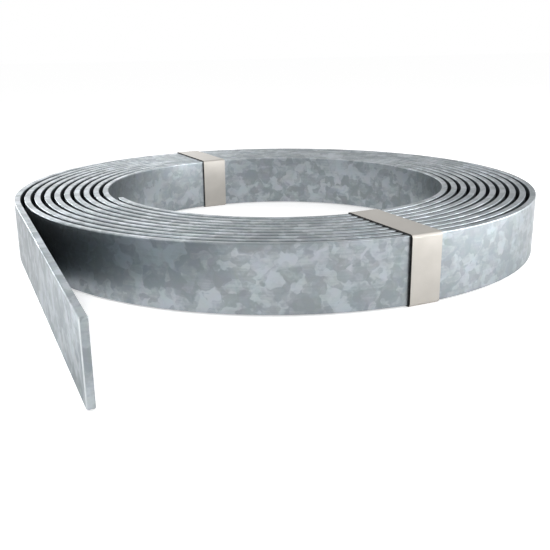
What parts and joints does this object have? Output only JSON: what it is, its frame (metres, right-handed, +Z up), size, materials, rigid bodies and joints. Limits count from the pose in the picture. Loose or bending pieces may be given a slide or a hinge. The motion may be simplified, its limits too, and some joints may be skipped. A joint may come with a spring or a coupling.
{
  "type": "steel coil",
  "caption": "Coil of flat galvanised steel strip lying on its side, open turns round a clear bore, tied by steel strapping bands, with a straight free end.",
  "frame": {"origin": "on the coil's axis at floor level, where the undersides of the bands rest", "axes": "+Z up along the coil's axis; the free end runs straight along -Y from the -X side of the coil; +X to the right seen from the front"},
  "size_m": [0.2805, 0.3196, 0.0312],
  "materials": {
    "galvanised_steel": "hot-dip zinc with a soft cloudy spangle, satin",
    "strapping_steel": "plain warm grey strapping, satin"
  },
  "bodies": {
    "root": {"steel_strip": "galvanised_steel", "front_band": "strapping_steel", "rear_band": "strapping_steel"}
  },
  "joints": []
}
